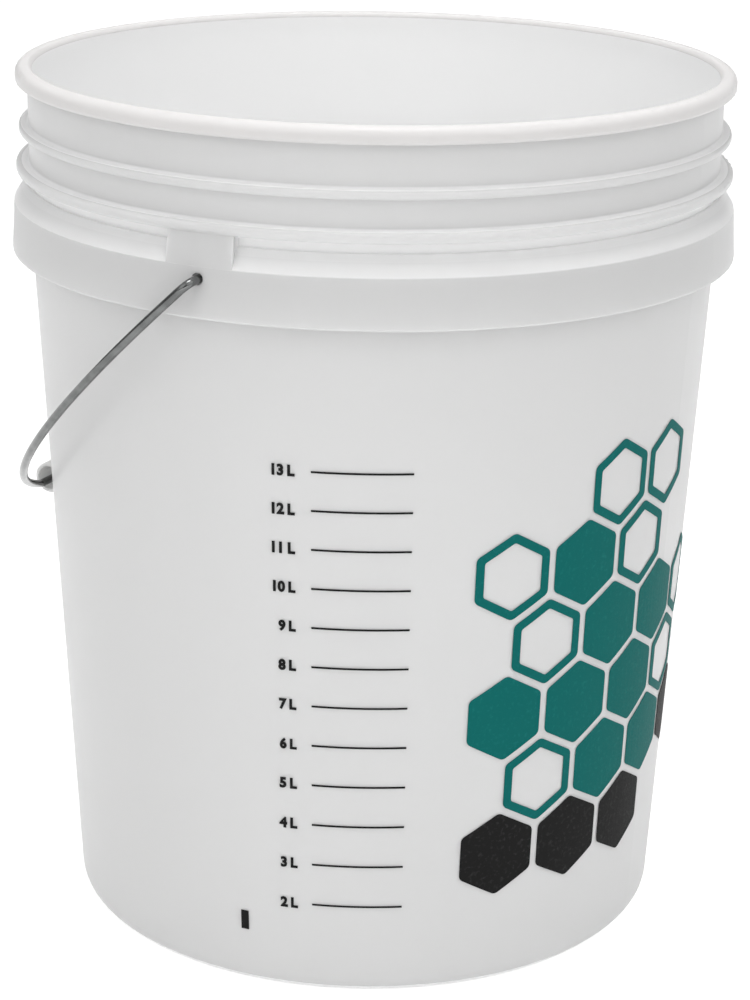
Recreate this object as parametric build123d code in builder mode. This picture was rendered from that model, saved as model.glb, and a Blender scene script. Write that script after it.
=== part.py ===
from build123d import *
import os
from math import acos, atan2, cos, degrees, hypot, pi, radians, sin, tan

# Graduated bucket: a moulded open-head pail with printed litre lines, a wire bail that
# swings in two ears, and a snap-on grip that turns on the bail.
# Millimetres. Z is the pail's axis and z = 0 is the ground. The ears lie on the Y axis,
# and the bail hangs on the -X side at rest.

# Pail shell
pail_height = 371.0
base_radius = 129.4
wall_draft = 3.2
wall = 2.0
floor_thickness = 2.6
foot_height = 1.0
foot_width = 9.0
base_corner_radius = 7.8
gate_radius = 5.0
gate_height = 0.4

# Collar, from the rim downwards
rim_height = 6.8
rim_overhang = 5.0
rim_lip = 2.3
rim_round = 3.6
rim_inner_bevel = 1.5
rim_inner_round = 1.5
rim_foot_round = 1.2
upper_neck = 17.35
upper_flange_thickness = 3.65
upper_flange_overhang = 3.95
flange_gap = 12.45
lower_flange_thickness = 4.15
lower_flange_overhang = 5.4
flange_round = 1.6
flange_root_round = 1.3
lower_neck = 4.35
shoulder_height = 8.1
shoulder_inset = 5.2
skirt_height = 20.5
skirt_flare = 1.2
neck_lap = 7.6
edge_round = 0.8
gusset_count = 24
gusset_thickness = 1.6
gusset_recess = 2.0

# Ears
ear_inset = 5.1
ear_width = 29.0
ear_hole_clearance = 0.7
ear_hole_rise = 0.25

# Bail wire
wire_diameter = 3.5
tail_clearance = 0.5
tail_length = 7.0
tail_bend = 3.0
hook_bend = 4.5
leg_gap = 5.4
leg_length = 7.2
rim_pass = 40.8
grip_corner_radius = 6.0

# Handle grip
grip_length = 66.0
grip_end_gap = 1.0
grip_radius = 7.0
grip_offset = 3.8
grip_clearance = 0.3
grip_mouth = 2.9
grip_shell = 1.5
grip_core_depth = 16.0
hang_gap = 0.4

# Printed marks. Azimuths turn from the -Y ear towards +X, in degrees.
first_litre = 2
last_litre = 13
cubic_mm_per_litre = 1.0e6
line_azimuth = 16.6
line_sweep = 16.2
line_height = 0.8
ink = 0.2
ink_clearance = 0.1
register_azimuth = 3.0
register_base = 25.9
register_width = 3.4
register_height = 8.8

# Heights and radii that follow from the sizes above
draft_slope = tan(radians(wall_draft))
floor_top = foot_height + floor_thickness
rim_bottom = pail_height - rim_height
upper_flange_top = rim_bottom - upper_neck
upper_flange_bottom = upper_flange_top - upper_flange_thickness
lower_flange_top = upper_flange_bottom - flange_gap
lower_flange_bottom = lower_flange_top - lower_flange_thickness
shoulder_top = lower_flange_bottom - lower_neck
skirt_top = shoulder_top - shoulder_height
skirt_bottom = skirt_top - skirt_height
neck_start = skirt_top - neck_lap
ear_height = skirt_top - ear_inset


def wall_radius(z):
    """Outer radius of the tapered wall at height z."""
    return base_radius + draft_slope * z


neck_radius = wall_radius(neck_start)
rim_radius = neck_radius + rim_overhang
upper_flange_radius = neck_radius + upper_flange_overhang
lower_flange_radius = neck_radius + lower_flange_overhang
skirt_gap = wire_diameter + 2 * tail_clearance
skirt_top_radius = neck_radius + skirt_gap + wall
skirt_bottom_radius = skirt_top_radius + skirt_flare
shoulder_radius = skirt_top_radius - shoulder_inset
foot_inner_radius = base_radius - base_corner_radius - foot_width


def skirt_radius(z):
    """Outer radius of the skirt at height z."""
    return skirt_top_radius + skirt_flare * (skirt_top - z) / skirt_height


def azimuth_plane(azimuth):
    """Upright plane through the pail's axis, with x outwards at this azimuth and y up."""
    turn = radians(azimuth - 90)
    return Plane((0, 0, 0), x_dir=(cos(turn), sin(turn), 0), z_dir=(sin(turn), -cos(turn), 0))


# Bail shape in its own plane: x along the ear axis, y away from it
wire_radius = wire_diameter / 2
tail_x = (neck_radius + skirt_radius(ear_height) - wall) / 2
leg_x = skirt_radius(ear_height) + leg_gap + wire_radius
straight_half = grip_length / 2 + grip_end_gap
bail_depth = hypot(rim_radius, pail_height - ear_height) + rim_pass
bow_reach = bail_depth - leg_length - grip_corner_radius
bow_inset = leg_x - straight_half - grip_corner_radius
bow_radius = grip_corner_radius + (bow_reach**2 + bow_inset**2) / (2 * bow_inset)
bow_angle = degrees(atan2(bow_reach, bow_radius - grip_corner_radius - bow_inset))

# The bail hangs where the grip would just miss the wall, whichever way the grip is turned
hang_radius = wall_radius(ear_height) + grip_radius + grip_offset + hang_gap
hang_angle = wall_draft + degrees(acos(hang_radius * cos(radians(wall_draft)) / bail_depth))
outward = Vector(-cos(radians(hang_angle)), 0, -sin(radians(hang_angle)))
bail_plane = Plane((0, 0, ear_height), x_dir=(0, -1, 0), z_dir=Vector(0, -1, 0).cross(outward))
grip_axis_point = Vector(0, 0, ear_height) + outward * bail_depth

# One gusset: an upright web between the wall and the skirt
lap = wall / 2
gusset_bottom = skirt_bottom + gusset_recess
with BuildPart() as gusset:
    with BuildSketch(Plane.XZ):
        with BuildLine():
            Polyline(
                (wall_radius(gusset_bottom) - lap, gusset_bottom),
                (skirt_radius(gusset_bottom) - lap, gusset_bottom),
                (skirt_top_radius - lap, skirt_top),
                (shoulder_radius - lap, shoulder_top - lap),
                (neck_radius - lap, shoulder_top - lap),
                (neck_radius - lap, neck_start),
                close=True,
            )
        make_face()
    extrude(amount=gusset_thickness / 2, both=True)

# Pail outline from the middle of the underside, up the outside and down the inside.
# Each corner is a radius, a height and a rounding.
pail_outline = [
    (0, foot_height - gate_height, 0),
    (gate_radius, foot_height - gate_height, 0),
    (gate_radius, foot_height, 0),
    (foot_inner_radius - foot_height, foot_height, 0),
    (foot_inner_radius, 0, 0),
    (base_radius, 0, base_corner_radius),
    (neck_radius, neck_start, 0),
    (neck_radius, shoulder_top - wall, 0),
    (skirt_top_radius - wall, skirt_top, 0),
    (skirt_bottom_radius - wall, skirt_bottom, edge_round),
    (skirt_bottom_radius, skirt_bottom, edge_round),
    (skirt_top_radius, skirt_top, edge_round),
    (shoulder_radius, shoulder_top, edge_round),
    (neck_radius, shoulder_top, 0),
    (neck_radius, lower_flange_bottom, 0),
    (lower_flange_radius, lower_flange_bottom, flange_round),
    (lower_flange_radius, lower_flange_top, flange_round),
    (neck_radius, lower_flange_top, flange_root_round),
    (neck_radius, upper_flange_bottom, 0),
    (upper_flange_radius, upper_flange_bottom, flange_round),
    (upper_flange_radius, upper_flange_top, flange_round),
    (neck_radius, upper_flange_top, flange_root_round),
    (neck_radius, pail_height - rim_lip, 0),
    (rim_radius - rim_lip, pail_height - rim_lip, 0),
    (rim_radius - rim_lip, rim_bottom, edge_round),
    (rim_radius, rim_bottom, rim_foot_round),
    (rim_radius, pail_height, rim_round),
    (neck_radius - wall + rim_inner_bevel, pail_height, rim_inner_round),
    (neck_radius - wall, pail_height - rim_inner_bevel, rim_inner_round),
    (neck_radius - wall, neck_start, 0),
    (wall_radius(floor_top) - wall, floor_top, base_corner_radius - wall),
    (0, floor_top, 0),
]

# Ear pad: the skirt's face carried up to the lower flange, hollow behind. Its hole stands a
# little above the ear axis, because the bail hangs on the hole's lower edge.
ear_sweep = degrees(ear_width / skirt_top_radius)
pocket_sweep = degrees((ear_width - 2 * wall) / skirt_top_radius)
flange_middle = (lower_flange_bottom + lower_flange_top) / 2
pad_top_radius = lower_flange_radius - edge_round
pocket_bottom = skirt_top - wall

with BuildPart() as pail_body:
    with BuildSketch(Plane.XZ):
        with BuildLine():
            FilletPolyline(
                [(r, z) for r, z, rounding in pail_outline],
                radius=[rounding for r, z, rounding in pail_outline],
                close=True,
            )
        make_face()
    revolve(axis=Axis.Z)
    with PolarLocations(0, gusset_count, start_angle=180 / gusset_count - 90):
        add(gusset.part)
    for ear_azimuth in (0, 180):
        with BuildSketch(azimuth_plane(ear_azimuth - ear_sweep / 2)):
            with BuildLine():
                Polyline(
                    (neck_radius - lap, skirt_top),
                    (skirt_top_radius, skirt_top),
                    (pad_top_radius, flange_middle),
                    (neck_radius - lap, flange_middle),
                    close=True,
                )
            make_face()
        revolve(axis=Axis.Z, revolution_arc=ear_sweep)
        with BuildSketch(azimuth_plane(ear_azimuth - pocket_sweep / 2)):
            with BuildLine():
                Polyline(
                    (neck_radius, pocket_bottom),
                    (skirt_radius(pocket_bottom) - wall, pocket_bottom),
                    (skirt_top_radius - wall, skirt_top),
                    (pad_top_radius - wall, lower_flange_bottom),
                    (neck_radius, lower_flange_bottom),
                    close=True,
                )
            make_face()
        revolve(axis=Axis.Z, revolution_arc=pocket_sweep, mode=Mode.SUBTRACT)
        ear_plane = azimuth_plane(ear_azimuth)
        hole_start = ear_plane.x_dir * (skirt_radius(ear_height) - 2 * wall)
        hole_height = ear_height + ear_hole_rise
        with BuildSketch(Plane((hole_start.X, hole_start.Y, hole_height), z_dir=ear_plane.x_dir)):
            Circle(wire_radius + ear_hole_clearance)
        extrude(amount=3 * wall, mode=Mode.SUBTRACT)

with BuildPart() as bail_wire:
    with BuildLine(bail_plane) as bail_path:
        tail = Line((tail_x, -tail_length), (tail_x, -tail_bend))
        tail_turn = JernArc(tail @ 1, tail % 1, tail_bend, -90)
        pivot = Line(tail_turn @ 1, (leg_x - hook_bend, 0))
        hook_turn = JernArc(pivot @ 1, pivot % 1, hook_bend, 90)
        leg = Line(hook_turn @ 1, (leg_x, leg_length))
        bow = JernArc(leg @ 1, leg % 1, bow_radius, bow_angle)
        grip_corner = JernArc(bow @ 1, bow % 1, grip_corner_radius, 90 - bow_angle)
        Line(grip_corner @ 1, (0, bail_depth))
        mirror(about=Plane.XZ)
    with BuildSketch(Plane(tail @ 0, z_dir=tail % 0)):
        Circle(wire_radius)
    sweep(path=bail_path.wires()[0])

# The grip's section is drawn about the wire, with x away from the ears
bore_radius = wire_radius + grip_clearance
grip_start = Plane(grip_axis_point - Vector(0, grip_length / 2, 0), x_dir=outward, z_dir=(0, 1, 0))
with BuildPart() as handle_grip:
    with BuildSketch(grip_start):
        with Locations((-grip_offset, 0)):
            Circle(grip_radius)
        Circle(bore_radius, mode=Mode.SUBTRACT)
        Rectangle(grip_radius, grip_mouth, align=(Align.MIN, Align.CENTER), mode=Mode.SUBTRACT)
    extrude(amount=grip_length)
    for core_start in (0, grip_length - grip_core_depth):
        with BuildSketch(grip_start.offset(core_start)):
            with Locations((-grip_offset, 0)):
                Circle(grip_radius - grip_shell)
        extrude(amount=grip_core_depth, mode=Mode.SUBTRACT)
    end_faces = faces().filter_by(Axis.Y).sort_by(Axis.Y)
    rims = end_faces[0].edges() + end_faces[-1].edges()
    outer_rims = rims.filter_by(GeomType.CIRCLE).group_by(SortBy.RADIUS)[-1]
    fillet(outer_rims, radius=min(edge_round, grip_shell / 2))


def litre_height(litres):
    """Height of the level that this many litres reach inside the tapered wall."""
    floor_radius = wall_radius(floor_top) - wall
    cubed = floor_radius**3 + 3 * draft_slope * litres * cubic_mm_per_litre / pi
    return floor_top + (cubed ** (1 / 3) - floor_radius) / draft_slope


def film_section(azimuth, low, high):
    """Section of an ink film on the outside of the wall, from one height to another."""
    low_radius = wall_radius(low) + ink_clearance
    high_radius = wall_radius(high) + ink_clearance
    with BuildSketch(azimuth_plane(azimuth)) as section:
        with BuildLine():
            Polyline(
                (low_radius, low),
                (low_radius + ink, low),
                (high_radius + ink, high),
                (high_radius, high),
                close=True,
            )
        make_face()
    return section.sketch


with BuildPart() as graduation_lines:
    for litres in range(first_litre, last_litre + 1):
        line_bottom = litre_height(litres) - line_height / 2
        line_top = line_bottom + line_height
        if line_top < skirt_bottom:
            line_section = film_section(line_azimuth, line_bottom, line_top)
            revolve(line_section, axis=Axis.Z, revolution_arc=line_sweep)

with BuildPart() as register_mark:
    register_sweep = degrees(register_width / wall_radius(register_base))
    register_section = film_section(register_azimuth, register_base, register_base + register_height)
    revolve(register_section, axis=Axis.Z, revolution_arc=register_sweep)

os.makedirs("parts", exist_ok=True)
pieces = {
    "pail_body": pail_body.part,
    "bail_wire": bail_wire.part,
    "handle_grip": handle_grip.part,
    "graduation_lines": graduation_lines.part,
    "register_mark": register_mark.part,
}
for name, piece in pieces.items():
    piece.label = name
    export_step(piece, f"parts/{name}.step")

print("neck", round(neck_radius, 2), "rim", round(rim_radius, 2), "ear height", round(ear_height, 2))
print("bail depth", round(bail_depth, 2), "bow radius", round(bow_radius, 2), "hang", round(hang_angle, 3))
print("grip axis", grip_axis_point)
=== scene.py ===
from math import cos, hypot, radians, sin, sqrt

import bmesh
import bpy
from mathutils import Matrix, Vector


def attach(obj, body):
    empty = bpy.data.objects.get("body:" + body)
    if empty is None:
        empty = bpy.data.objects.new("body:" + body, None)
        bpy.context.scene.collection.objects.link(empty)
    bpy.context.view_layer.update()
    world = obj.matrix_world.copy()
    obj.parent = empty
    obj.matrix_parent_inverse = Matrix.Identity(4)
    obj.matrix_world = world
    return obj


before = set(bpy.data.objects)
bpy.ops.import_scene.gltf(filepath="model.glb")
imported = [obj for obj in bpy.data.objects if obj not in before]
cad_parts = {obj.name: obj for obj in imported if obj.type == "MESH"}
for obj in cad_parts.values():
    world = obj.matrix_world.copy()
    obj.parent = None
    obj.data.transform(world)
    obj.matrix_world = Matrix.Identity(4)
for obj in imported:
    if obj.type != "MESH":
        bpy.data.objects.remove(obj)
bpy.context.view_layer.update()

# Lengths are metres. Azimuths turn from the near ear, at -Y, towards +X, in degrees.

# Camera, fitted to the photograph's frame of 750 by 1000 pixels
frame_height_px = 1000
focal_px = 2688.6
sensor_mm = 36.0
camera_azimuth = 25.89
camera_distance = 1.1352
camera_height = 0.5534
camera_pitch = 18.393
camera_yaw = 0.120
camera_roll = 0.9205

# Bounds of the pail's colour zones, where lighter colour is painted in as painted light: heights,
# the depth of the
#  collar's grooves, and how far a ledge's normal points up where its colour begins and where it is
#  full
wall = 0.002
taper_top = 0.30655
skirt_top = 0.3139
lower_flange_bottom = 0.3266
rim_bottom = 0.3640
rim_inner_edge = 0.3687
groove_radius = 0.1496
ledge_slope = (0.1, 0.6)

# Colours of the milky plastic
pail_light = (0.65, 0.65, 0.65)
pail_dark = (0.62, 0.62, 0.62)
grip_light = (0.80, 0.80, 0.78)
grip_dark = (0.76, 0.76, 0.75)
# The rim: a faint warm tint of its own, and painted a little lighter than the wall as painted light
rim_tint_and_painted_light = (0.68, 0.665, 0.66)
# Painted light: the collar's up-facing ledges and grooves painted near white against the shade that
# falls there
ledge_painted_light = (0.90, 0.90, 0.90)
# Painted light: the inside painted nearly white so that it shows brighter than the outside
inside_painted_light = (0.975, 0.975, 0.975)

# Milky plastic: clouds in its colour, grain in its gloss, and a faint waviness of its skin
plastic_ior = 1.53
plastic_specular = 0.15
plastic_roughness = (0.29, 0.36)
plastic_subsurface = 0.75
inside_subsurface = 0.15
subsurface_radius = (1.0, 1.0, 1.0)
subsurface_scale = 0.007
cloud_scale = 9
cloud_stretch = (1, 1, 0.35)
cloud_ramp = (0.2, 0.8)
gloss_scale = 25
gloss_detail = 4
skin_scale = 30
skin_stretch = (1, 1, 0.3)
skin_bump = 0.15
skin_depth = 0.0004

# Zinc-coated wire, its colours darkened well below zinc's own: painted shade for the dark
# surroundings it reflects
wire_dark = (0.145, 0.149, 0.148)
wire_light = (0.205, 0.210, 0.208)
wire_roughness = (0.12, 0.2)
wire_mottle_scale = 160
wire_mottle_detail = 3
wire_gloss_scale = 500
wire_skin_scale = 260
wire_bump = 0.05
wire_depth = 0.0002

# Inks, each with its colour where it covers well and where it is thin
black_full = (0.012, 0.012, 0.012)
black_thin = (0.03, 0.03, 0.03)
teal_full = (0.003, 0.130, 0.121)
teal_thin = (0.008, 0.158, 0.149)
ink_specular = 0.06
ink_roughness = (0.45, 0.6)
ink_cover_scale = 600
ink_cover_detail = 3
ink_cover_ramp = (0.25, 0.45)
ink_gloss_scale = 1500

# Printed films, cut into strips so that they follow the wall
film = 0.0002
strip_width = 0.003

# Litre numbers, right-aligned beside the printed lines
first_litre = 2
number_azimuth = 14.0
number_height = 0.0049
number_width_factor = 0.95
number_weight = 0.05
number_word_space = 0.8
number_curve_steps = 3

# Honeycomb print: cells that stand on a corner, in rows where every other row is half a pitch on
comb_azimuth = 50.3
comb_base = 0.062
comb_pitch = 0.036
cell_reach = 0.0190
cell_corner = 0.0030
cell_wall = 0.0042
filled_cells = [(3, 1), (3, 2), (2, 0), (2, 1), (2, 2), (1, 1), (1, 2), (4, 1)]
open_cells = [(5, 1), (5, 2), (4, 0), (4, 2), (3, 0), (3, 3), (1, 0), (2, 3)]
dark_cells = [(0, 0), (0, 1), (0, 2), (1, 3)]

# Floor: what it gives back as light, and what the eye sees of it, a glow that takes a shadow
floor_half = 200.0
floor_albedo = 0.95
floor_glow = 0.85
floor_shade = 0.35

# Surroundings: bright overhead and dim from the horizon down, leaning a little to the back
sky_lean = 0.15
sky_dim = 0.30
sky_bright = 1.5
sky_ramp = (0.5, 0.95)
sky_strength = 0.55

# The pair of front lamps, to the right and to the left of the camera
front_turn = 43
front_lamp = {"size": (1.6, 1.4), "power": 5.7, "height": 1.1, "distance": 1.5, "aim": 0.25}


def add_camera():
    """Camera at the photograph's angle. The sensor's width lies along the taller side."""
    data = bpy.data.cameras.new("camera")
    data.sensor_width = sensor_mm
    data.lens = focal_px * sensor_mm / frame_height_px
    camera = bpy.data.objects.new("camera", data)
    turn = radians(camera_azimuth)
    place = (camera_distance * sin(turn), -camera_distance * cos(turn), camera_height)
    heading = Matrix.Rotation(turn - radians(camera_yaw), 4, "Z")
    tilt = Matrix.Rotation(radians(90 - camera_pitch), 4, "X")
    roll = Matrix.Rotation(radians(camera_roll), 4, "Z")
    camera.matrix_world = Matrix.Translation(place) @ heading @ tilt @ roll
    bpy.context.scene.collection.objects.link(camera)
    bpy.context.scene.camera = camera


def new_material(name):
    """A material with its nodes and its Principled shader."""
    material = bpy.data.materials.new(name)
    material.use_nodes = True
    return material, material.node_tree, material.node_tree.nodes["Principled BSDF"]


def add_noise(tree, scale, detail=2, stretch=(1, 1, 1)):
    """Noise over the object's own coordinates, each axis taken times a factor."""
    place = tree.nodes.new("ShaderNodeTexCoord")
    mapping = tree.nodes.new("ShaderNodeMapping")
    mapping.inputs["Scale"].default_value = stretch
    noise = tree.nodes.new("ShaderNodeTexNoise")
    noise.inputs["Scale"].default_value = scale
    noise.inputs["Detail"].default_value = detail
    tree.links.new(place.outputs["Object"], mapping.inputs["Vector"])
    tree.links.new(mapping.outputs["Vector"], noise.inputs["Vector"])
    return noise.outputs["Fac"]


def add_ramp(tree, value, low, high, start=0.35, end=0.65):
    """Colour that runs from low to high as a value runs from start to end."""
    ramp = tree.nodes.new("ShaderNodeValToRGB")
    first, last = ramp.color_ramp.elements
    first.position, first.color = start, (*low, 1)
    last.position, last.color = end, (*high, 1)
    tree.links.new(value, ramp.inputs["Fac"])
    return ramp.outputs["Color"]


def add_range(tree, value, low, high, start=0.3, end=0.7):
    """Number that runs from low to high as a value runs from start to end."""
    spread = tree.nodes.new("ShaderNodeMapRange")
    spread.inputs["From Min"].default_value = start
    spread.inputs["From Max"].default_value = end
    spread.inputs["To Min"].default_value = low
    spread.inputs["To Max"].default_value = high
    tree.links.new(value, spread.inputs["Value"])
    return spread.outputs["Result"]


def add_bump(tree, shader, height, strength, depth):
    """Small unevenness of a skin, from a value taken as its height."""
    bump = tree.nodes.new("ShaderNodeBump")
    bump.inputs["Strength"].default_value = strength
    bump.inputs["Distance"].default_value = depth
    tree.links.new(height, bump.inputs["Height"])
    tree.links.new(bump.outputs["Normal"], shader.inputs["Normal"])


def add_mix(tree, choice, first, second):
    """First colour where the choice is zero, second where it is one."""
    mix = tree.nodes.new("ShaderNodeMixRGB")
    tree.links.new(choice, mix.inputs["Fac"])
    tree.links.new(first, mix.inputs["Color1"])
    mix.inputs["Color2"].default_value = (*second, 1)
    return mix.outputs["Color"]


def combine(tree, kind, *values):
    """Result of one operation on numbers or sockets, such as their product or the larger one."""
    node = tree.nodes.new("ShaderNodeMath")
    node.operation = kind
    for value, socket in zip(values, node.inputs):
        if isinstance(value, (int, float)):
            socket.default_value = value
        else:
            tree.links.new(value, socket)
    return node.outputs["Value"]


def split(tree, vector):
    """The parts of a vector along X, Y and Z."""
    parts = tree.nodes.new("ShaderNodeSeparateXYZ")
    tree.links.new(vector, parts.inputs["Vector"])
    return parts.outputs


def printed_wall():
    """Radius of the printed films' inner face at height zero, its growth with height, and the
    heights of the printed lines."""
    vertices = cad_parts["graduation_lines"].data.vertices
    points = [(v.co.z, hypot(v.co.x, v.co.y)) for v in vertices]
    lowest = min(points)
    top = max(points)[0]
    highest = min(point for point in points if point[0] > top - film)
    slope = (highest[1] - lowest[1]) / (highest[0] - lowest[0])
    digits = 5
    edges = sorted({round(z, digits) for z, r in points})
    middles = [(low + high) / 2 for low, high in zip(edges[0::2], edges[1::2])]
    return lowest[1] - slope * lowest[0], slope, middles


wall_start, wall_slope, line_heights = printed_wall()


def add_zones(tree):
    """Three values from zero to one: the rim, the collar's ledges and the inside of the wall, the
    zones where lighter colour is painted in as painted light.
    """
    place = tree.nodes.new("ShaderNodeTexCoord")
    x, y, z = split(tree, place.outputs["Object"])
    squares = combine(tree, "ADD", combine(tree, "POWER", x, 2), combine(tree, "POWER", y, 2))
    radius = combine(tree, "SQRT", squares)
    rim = combine(tree, "GREATER_THAN", z, rim_bottom)

    taper = combine(tree, "MULTIPLY", combine(tree, "MINIMUM", z, taper_top), wall_slope)
    middle = combine(tree, "ADD", taper, wall_start - film - wall / 2)
    under = combine(tree, "LESS_THAN", z, rim_inner_edge)
    inside = combine(tree, "MULTIPLY", under, combine(tree, "LESS_THAN", radius, middle))

    # Painted light lifts the shade on the collar's ledges. A ledge is where two of three signs hold
    # in the collar: it is low, recessed or faces up
    collar = combine(tree, "SUBTRACT", combine(tree, "GREATER_THAN", z, skirt_top), rim)
    low = combine(tree, "LESS_THAN", z, lower_flange_bottom)
    recessed = combine(tree, "LESS_THAN", radius, groove_radius)
    upward = split(tree, place.outputs["Normal"])["Z"]
    sloping = add_range(tree, upward, 0, 1, *ledge_slope)
    signs = combine(tree, "ADD", combine(tree, "ADD", low, recessed), sloping)
    painted_light_ledges = combine(tree, "MULTIPLY", collar, add_range(tree, signs, 0, 1, 1, 2))
    return rim, painted_light_ledges, inside


def natural_plastic(name, light, dark, zoned=False):
    """Milky moulded polyethylene: light passes a little way in, and the skin has a soft gloss.
    Where it has the pail's zones, less light passes through from the inside, and lighter colours are
    painted in as painted light: the rim, the collar's ledges and the inside."""
    material, tree, shader = new_material(name)
    clouds = add_noise(tree, cloud_scale, stretch=cloud_stretch)
    colour = add_ramp(tree, clouds, dark, light, *cloud_ramp)
    shader.inputs["Subsurface Weight"].default_value = plastic_subsurface
    if zoned:
        rim, painted_light_ledges, inside = add_zones(tree)
        # Painted light: a lighter rim, lightened ledges and a near-white inside
        colour = add_mix(tree, rim, colour, rim_tint_and_painted_light)
        colour = add_mix(tree, painted_light_ledges, colour, ledge_painted_light)
        colour = add_mix(tree, inside, colour, inside_painted_light)
        weight = add_range(tree, inside, plastic_subsurface, inside_subsurface, 0, 1)
        tree.links.new(weight, shader.inputs["Subsurface Weight"])
    tree.links.new(colour, shader.inputs["Base Color"])
    gloss = add_noise(tree, gloss_scale, detail=gloss_detail)
    tree.links.new(add_range(tree, gloss, *plastic_roughness), shader.inputs["Roughness"])
    shader.inputs["IOR"].default_value = plastic_ior
    shader.inputs["Specular IOR Level"].default_value = plastic_specular
    shader.inputs["Subsurface Radius"].default_value = subsurface_radius
    shader.inputs["Subsurface Scale"].default_value = subsurface_scale
    add_bump(tree, shader, add_noise(tree, skin_scale, stretch=skin_stretch), skin_bump, skin_depth)
    return material


def zinc_wire(name):
    """Bright drawn wire with a zinc coat; its colour is darkened well below zinc's own, painted
    shade for the dark surroundings it reflects.
    """
    material, tree, shader = new_material(name)
    mottle = add_noise(tree, wire_mottle_scale, detail=wire_mottle_detail)
    tree.links.new(add_ramp(tree, mottle, wire_dark, wire_light), shader.inputs["Base Color"])
    gloss = add_noise(tree, wire_gloss_scale)
    tree.links.new(add_range(tree, gloss, *wire_roughness), shader.inputs["Roughness"])
    shader.inputs["Metallic"].default_value = 1.0
    add_bump(tree, shader, add_noise(tree, wire_skin_scale), wire_bump, wire_depth)
    return material


def printed_ink(name, full, thin):
    """Screen-printed ink, a little thin in places."""
    material, tree, shader = new_material(name)
    cover = add_noise(tree, ink_cover_scale, detail=ink_cover_detail)
    tree.links.new(add_ramp(tree, cover, thin, full, *ink_cover_ramp), shader.inputs["Base Color"])
    gloss = add_noise(tree, ink_gloss_scale)
    tree.links.new(add_range(tree, gloss, *ink_roughness), shader.inputs["Roughness"])
    shader.inputs["Specular IOR Level"].default_value = ink_specular
    return material


def dress(node, material):
    """Puts one material on a CAD node."""
    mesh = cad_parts[node].data
    mesh.materials.clear()
    mesh.materials.append(material)


def wrap(mesh, azimuth):
    """Bends a flat film round the wall. In the flat, x runs along the wall from the azimuth, y is
    the height and z the thickness."""
    for point in mesh.verts:
        radius = wall_start + wall_slope * point.co.y
        turn = radians(azimuth) + point.co.x / radius
        radius += point.co.z
        point.co = (radius * sin(turn), -radius * cos(turn), point.co.y)


def add_print(name, mesh, azimuth, material):
    """A printed film on the pail, made from a flat one."""
    wrap(mesh, azimuth)
    data = bpy.data.meshes.new(name)
    mesh.to_mesh(data)
    mesh.free()
    data.materials.append(material)
    piece = bpy.data.objects.new(name, data)
    bpy.context.scene.collection.objects.link(piece)
    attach(piece, "pail")


def flat_number(text):
    """Flat film of a number in a heavy face, with its right end at x = 0 and its middle at y = 0."""
    half = 0.5
    curve = bpy.data.curves.new("number", "FONT")
    curve.body = text
    curve.align_x = "RIGHT"
    curve.space_word = number_word_space
    curve.offset = number_weight
    curve.extrude = half
    curve.resolution_u = number_curve_steps
    writing = bpy.data.objects.new("number", curve)
    bpy.context.scene.collection.objects.link(writing)
    solid = writing.evaluated_get(bpy.context.evaluated_depsgraph_get())
    shape = bpy.data.meshes.new_from_object(solid)
    bpy.data.objects.remove(writing)
    bpy.data.curves.remove(curve)
    bottom = min(v.co.y for v in shape.vertices)
    top = max(v.co.y for v in shape.vertices)
    right = max(v.co.x for v in shape.vertices)
    size = number_height / (top - bottom)
    shape.transform(Matrix.Translation((-right, -(top + bottom) / 2, half)))
    shape.transform(Matrix.Diagonal((size * number_width_factor, size, film, 1)))
    return shape


def add_numbers(material):
    """The litre numbers, each level with its line."""
    flat = bmesh.new()
    for step, height in enumerate(line_heights):
        shape = flat_number(f"{first_litre + step} L")
        shape.transform(Matrix.Translation((0, height, 0)))
        flat.from_mesh(shape)
        bpy.data.meshes.remove(shape)
    same_place = film / 20
    bmesh.ops.remove_doubles(flat, verts=flat.verts, dist=same_place)
    bmesh.ops.recalc_face_normals(flat, faces=flat.faces)
    add_print("litre_numbers", flat, number_azimuth, material)


def cell_outline(middle, reach, corner):
    """Outline of a six-sided cell that stands on a corner. Each corner is an arc of four steps."""
    side_turn = 60
    half_turn = side_turn / 2
    arc_turn = side_turn / 4
    points = []
    for side in range(6):
        toward = radians(side_turn * side + half_turn)
        bend_reach = reach - corner / cos(radians(half_turn))
        bend = middle + bend_reach * Vector((cos(toward), sin(toward)))
        for step in range(-2, 3):
            angle = toward + radians(arc_turn * step)
            points.append(bend + corner * Vector((cos(angle), sin(angle))))
    return points


def cell_middle(row, column):
    """Middle of a cell in the flat print."""
    shift = comb_pitch / 2 if row % 2 else 0
    return Vector((column * comb_pitch + shift, comb_base + row * comb_pitch * sqrt(3) / 2))


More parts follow.
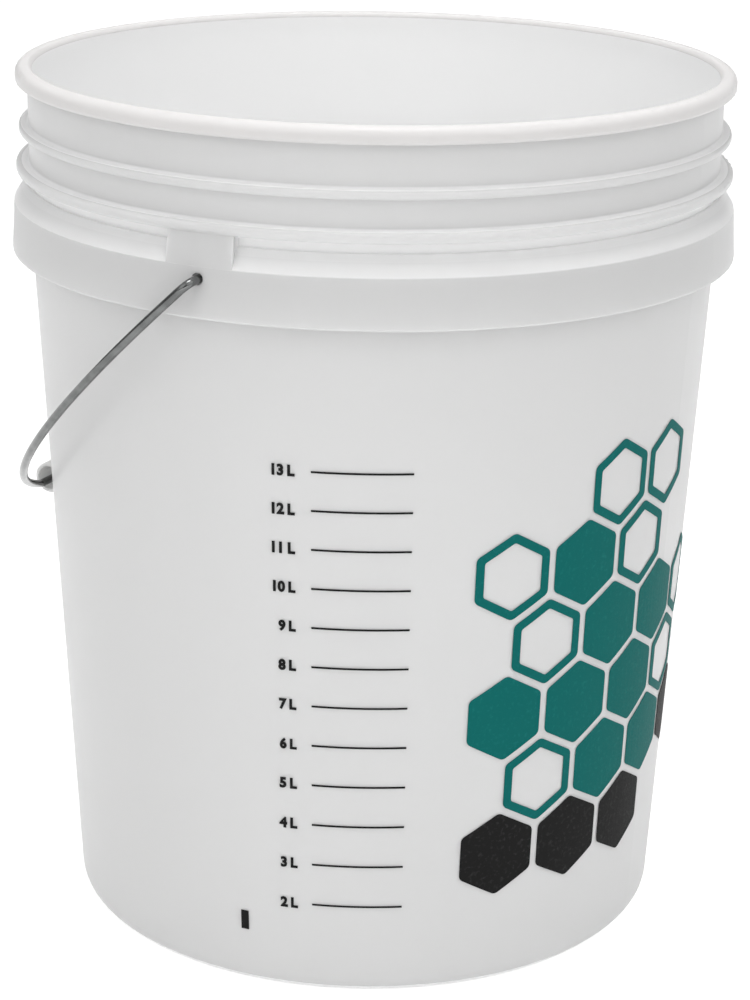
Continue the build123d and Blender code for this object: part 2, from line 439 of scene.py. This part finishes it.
def add_cells(name, filled, opened, material):
    """Filled and open honeycomb cells as one printed film."""
    flat = bmesh.new()
    for place in filled:
        outline = cell_outline(cell_middle(*place), cell_reach, cell_corner)
        flat.faces.new([flat.verts.new((*point, 0)) for point in outline])
    for place in opened:
        rings = []
        for reach, corner in ((cell_reach, cell_corner), (cell_reach - cell_wall, cell_corner / 2)):
            outline = cell_outline(cell_middle(*place), reach, corner)
            rings.append([flat.verts.new((*point, 0)) for point in outline])
        outer, inner = rings
        for here in range(len(outer)):
            flat.faces.new((outer[here - 1], outer[here], inner[here], inner[here - 1]))
    left = min(v.co.x for v in flat.verts)
    right = max(v.co.x for v in flat.verts)
    for strip in range(1, int((right - left) / strip_width) + 1):
        cut = (left + strip * strip_width, 0, 0)
        parts = flat.verts[:] + flat.edges[:] + flat.faces[:]
        bmesh.ops.bisect_plane(flat, geom=parts, plane_co=cut, plane_no=(1, 0, 0))
    raised = bmesh.ops.extrude_face_region(flat, geom=flat.faces[:])
    top = [part for part in raised["geom"] if isinstance(part, bmesh.types.BMVert)]
    bmesh.ops.translate(flat, verts=top, vec=(0, 0, film))
    bmesh.ops.recalc_face_normals(flat, faces=flat.faces)
    add_print(name, flat, comb_azimuth, material)


def add_seen(tree):
    """One for rays from the eye, from a reflection or through a clear body, and zero for light."""
    path = tree.nodes.new("ShaderNodeLightPath")
    value = path.outputs["Is Camera Ray"]
    for other in ("Is Glossy Ray", "Is Transmission Ray"):
        value = combine(tree, "MAXIMUM", value, path.outputs[other])
    return value


def add_diffuse(tree, grey):
    """Matt grey surface."""
    node = tree.nodes.new("ShaderNodeBsdfDiffuse")
    node.inputs["Color"].default_value = (grey, grey, grey, 1)
    return node.outputs["BSDF"]


def add_floor():
    """Plain pale floor, white to the eye and in reflections, with the bucket's soft shadow."""
    mesh = bpy.data.meshes.new("floor")
    corners = [(-1, -1, 0), (1, -1, 0), (1, 1, 0), (-1, 1, 0)]
    mesh.from_pydata([Vector(corner) * floor_half for corner in corners], [], [(0, 1, 2, 3)])
    floor = bpy.data.objects.new("floor", mesh)
    bpy.context.scene.collection.objects.link(floor)
    material, tree, shader = new_material("floor")
    tree.nodes.remove(shader)
    glow = tree.nodes.new("ShaderNodeEmission")
    glow.inputs["Strength"].default_value = floor_glow
    seen = tree.nodes.new("ShaderNodeAddShader")
    tree.links.new(glow.outputs["Emission"], seen.inputs[0])
    tree.links.new(add_diffuse(tree, floor_shade), seen.inputs[1])
    choice = tree.nodes.new("ShaderNodeMixShader")
    tree.links.new(add_seen(tree), choice.inputs["Fac"])
    tree.links.new(add_diffuse(tree, floor_albedo), choice.inputs[1])
    tree.links.new(seen.outputs["Shader"], choice.inputs[2])
    tree.links.new(choice.outputs["Shader"], tree.nodes["Material Output"].inputs["Surface"])
    mesh.materials.append(material)


def add_world():
    """Studio surroundings, bright overhead and dim from the horizon down."""
    world = bpy.data.worlds.new("studio")
    bpy.context.scene.world = world
    world.use_nodes = True
    tree = world.node_tree
    background = tree.nodes["Background"]
    place = tree.nodes.new("ShaderNodeTexCoord")
    facing = tree.nodes.new("ShaderNodeVectorMath")
    facing.operation = "DOT_PRODUCT"
    turn = radians(camera_azimuth)
    facing.inputs[1].default_value = (-sky_lean * sin(turn), sky_lean * cos(turn), 1.0)
    tree.links.new(place.outputs["Generated"], facing.inputs[0])
    level = add_range(tree, facing.outputs["Value"], 0, 1, -1, 1)
    dim = (sky_dim, sky_dim, sky_dim)
    bright = (sky_bright, sky_bright, sky_bright)
    tree.links.new(add_ramp(tree, level, dim, bright, *sky_ramp), background.inputs["Color"])
    background.inputs["Strength"].default_value = sky_strength


def add_lamp(name, turn, size, power, height, distance, aim):
    """Soft lamp, turned from the camera's azimuth, that points at a height on the pail's axis."""
    data = bpy.data.lights.new(name, "AREA")
    data.shape = "RECTANGLE"
    data.size, data.size_y = size
    data.energy = power
    lamp = bpy.data.objects.new(name, data)
    azimuth = radians(camera_azimuth + turn)
    place = Vector((distance * sin(azimuth), -distance * cos(azimuth), height))
    pointing = (Vector((0, 0, aim)) - place).to_track_quat("-Z", "Y")
    lamp.matrix_world = Matrix.Translation(place) @ pointing.to_matrix().to_4x4()
    bpy.context.scene.collection.objects.link(lamp)


add_camera()
add_floor()
add_world()
add_lamp("overhead", turn=0, size=(0.7, 0.7), power=10.0, height=1.7, distance=0.2, aim=0.3)
add_lamp("front_right", turn=front_turn, **front_lamp)
add_lamp("front_left", turn=-front_turn, **front_lamp)
add_lamp("front_low", turn=0, size=(1.2, 0.5), power=1.5, height=0.05, distance=0.95, aim=0.2)

dress("pail_body", natural_plastic("natural_pail", pail_light, pail_dark, zoned=True))
dress("handle_grip", natural_plastic("natural_grip", grip_light, grip_dark))
dress("bail_wire", zinc_wire("zinc_wire"))
black = printed_ink("black_ink", black_full, black_thin)
teal = printed_ink("teal_ink", teal_full, teal_thin)
dress("graduation_lines", black)
dress("register_mark", black)
add_numbers(black)
add_cells("comb_teal", filled_cells, open_cells, teal)
add_cells("comb_black", dark_cells, [], black)

bpy.context.scene.view_settings.view_transform = "Standard"
